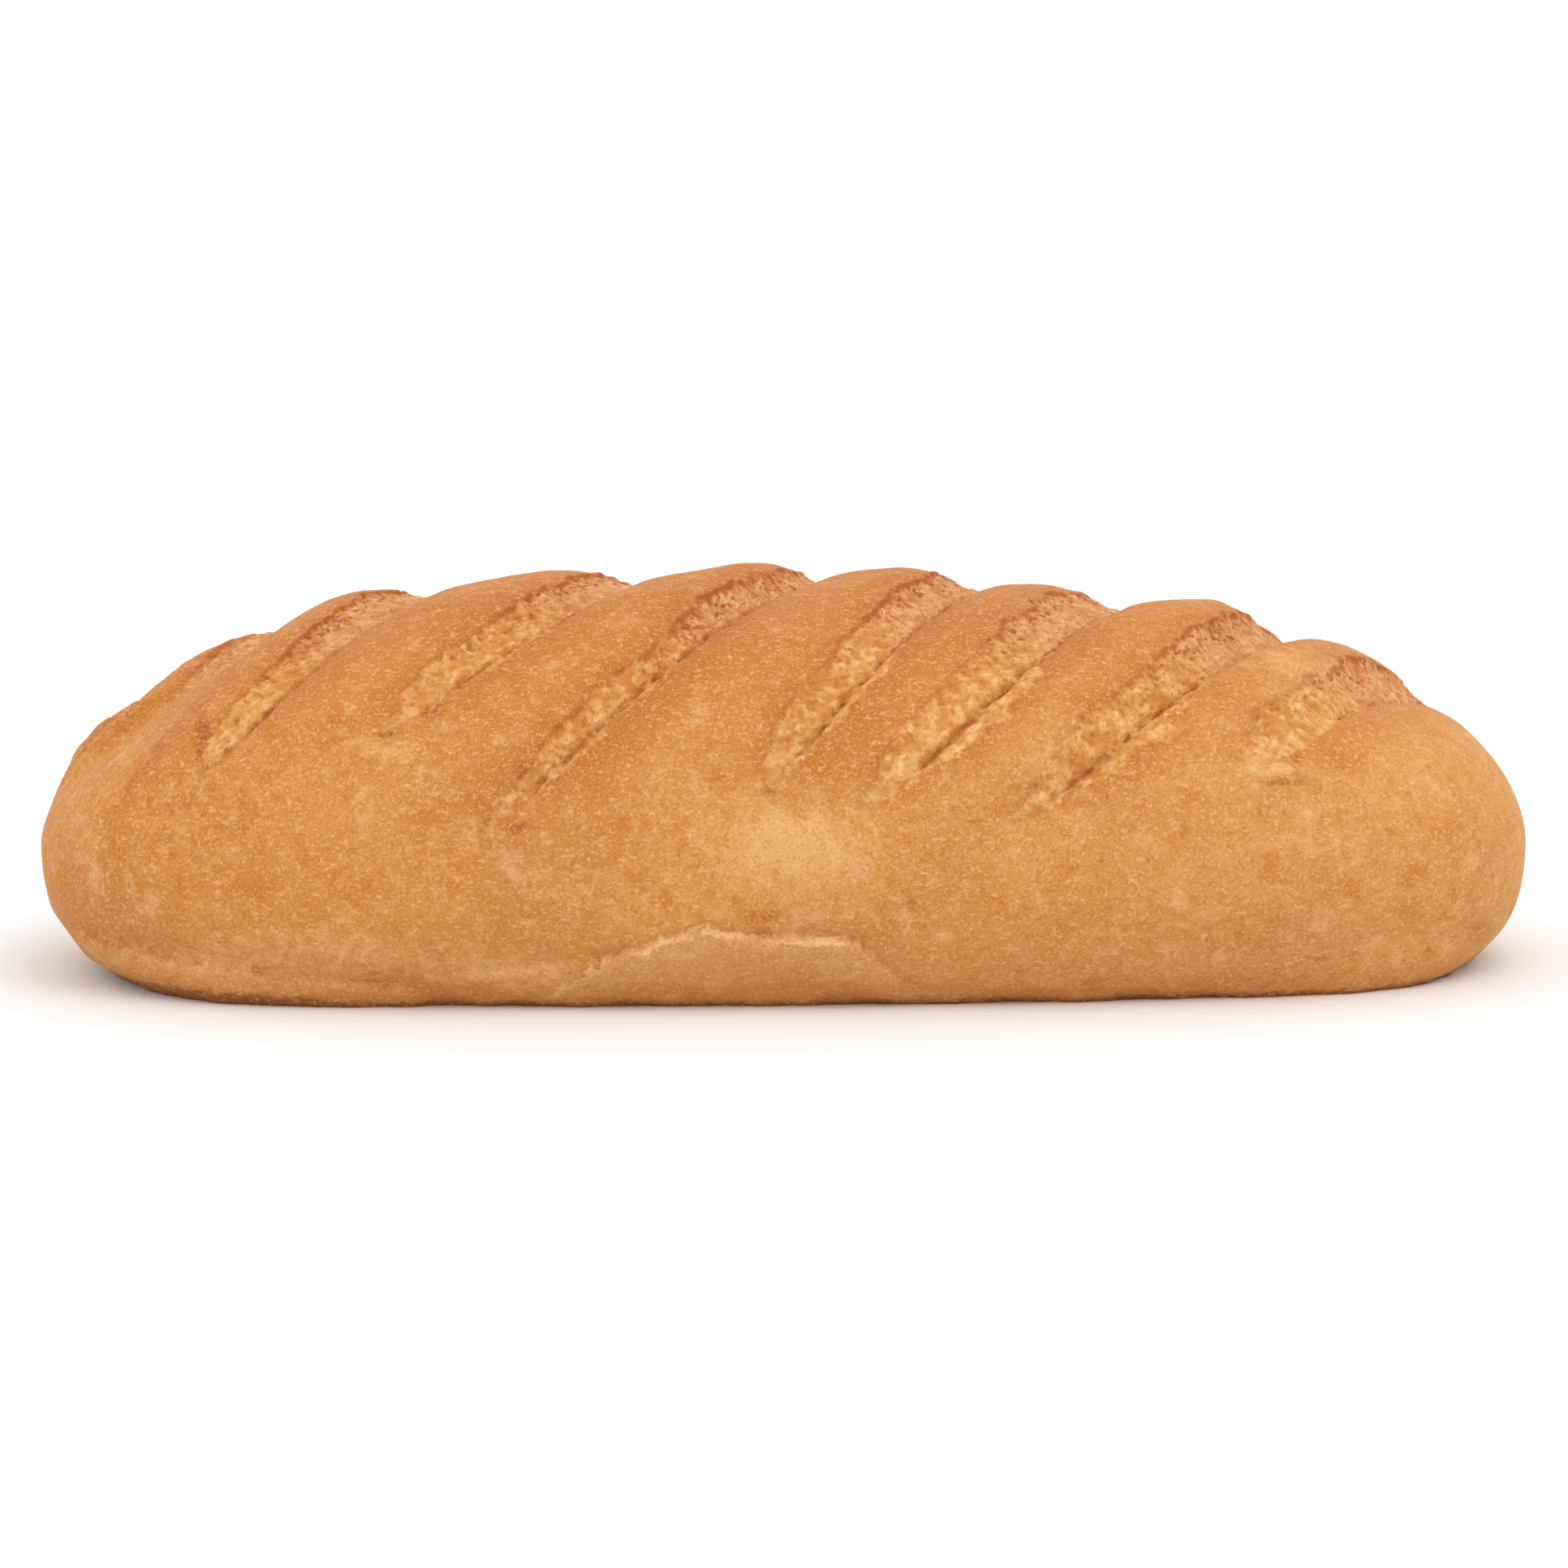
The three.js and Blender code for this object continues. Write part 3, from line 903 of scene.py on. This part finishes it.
class BLOOMER_OT_stage(Operator):
    """Lay the paper, hang the soft lights and place the camera"""

    bl_idname = "bloomer.stage"
    bl_label = "Set stage"

    def execute(self, context):
        stage = context.scene.bloomer_stage
        select_none()
        bpy.ops.mesh.primitive_plane_add(size=PAPER_SIZE, location=(0, 0, 0))
        floor = context.object
        floor.name = "paper"
        floor.data.materials.append(matt_paper(tuple(stage.paper)))

        world = bpy.data.worlds.new("studio")
        world.use_nodes = True
        background = world.node_tree.nodes["Background"]
        background.inputs["Color"].default_value = (1.0, 1.0, 1.0, 1.0)
        background.inputs["Strength"].default_value = DAYLIGHT
        context.scene.world = world

        target = Vector((0, 0, stage.aim_height))
        for name, place, size, power in LAMPS:
            bpy.ops.object.light_add(type="AREA", location=place)
            light = context.object
            light.name = name
            light.data.size = size
            light.data.energy = power
            light.rotation_euler = (target - Vector(place)).to_track_quat("-Z", "Y").to_euler()

        back = Vector((
            math.sin(stage.turn) * math.cos(stage.tilt),
            -math.cos(stage.turn) * math.cos(stage.tilt),
            math.sin(stage.tilt),
        ))
        bpy.ops.object.camera_add(location=target + back * stage.distance)
        camera = context.object
        camera.rotation_euler = (-back).to_track_quat("-Z", "Y").to_euler()
        camera.data.sensor_width = SENSOR_WIDTH
        camera.data.lens = SENSOR_WIDTH * stage.distance / stage.frame_width
        context.scene.camera = camera
        context.scene.view_settings.view_transform = "Standard"
        return {"FINISHED"}


class BLOOMER_PT_bakery(Panel):
    """Lists the loaf's operators and settings"""

    bl_idname = "BLOOMER_PT_bakery"
    bl_label = "Bloomer"
    bl_space_type = "VIEW_3D"
    bl_region_type = "UI"
    bl_category = "Bakery"

    def draw(self, context):
        layout = self.layout
        for group in ("bloomer_sizes", "bloomer_colours", "bloomer_stage"):
            settings = getattr(context.scene, group)
            for name in type(settings).__annotations__:
                layout.prop(settings, name)
        for operator in (BLOOMER_OT_loaf, BLOOMER_OT_stage):
            layout.operator(operator.bl_idname)


CLASSES = (
    LoafSizes, LoafColours, StageSettings, BLOOMER_OT_loaf, BLOOMER_OT_stage, BLOOMER_PT_bakery,
)


def register():
    for item in CLASSES:
        bpy.utils.register_class(item)
    bpy.types.Scene.bloomer_sizes = PointerProperty(type=LoafSizes)
    bpy.types.Scene.bloomer_colours = PointerProperty(type=LoafColours)
    bpy.types.Scene.bloomer_stage = PointerProperty(type=StageSettings)


def unregister():
    del bpy.types.Scene.bloomer_stage
    del bpy.types.Scene.bloomer_colours
    del bpy.types.Scene.bloomer_sizes
    for item in reversed(CLASSES):
        bpy.utils.unregister_class(item)


def main():
    register()
    bpy.ops.bloomer.loaf()
    bpy.ops.bloomer.stage()


if __name__ == "__main__":
    main()
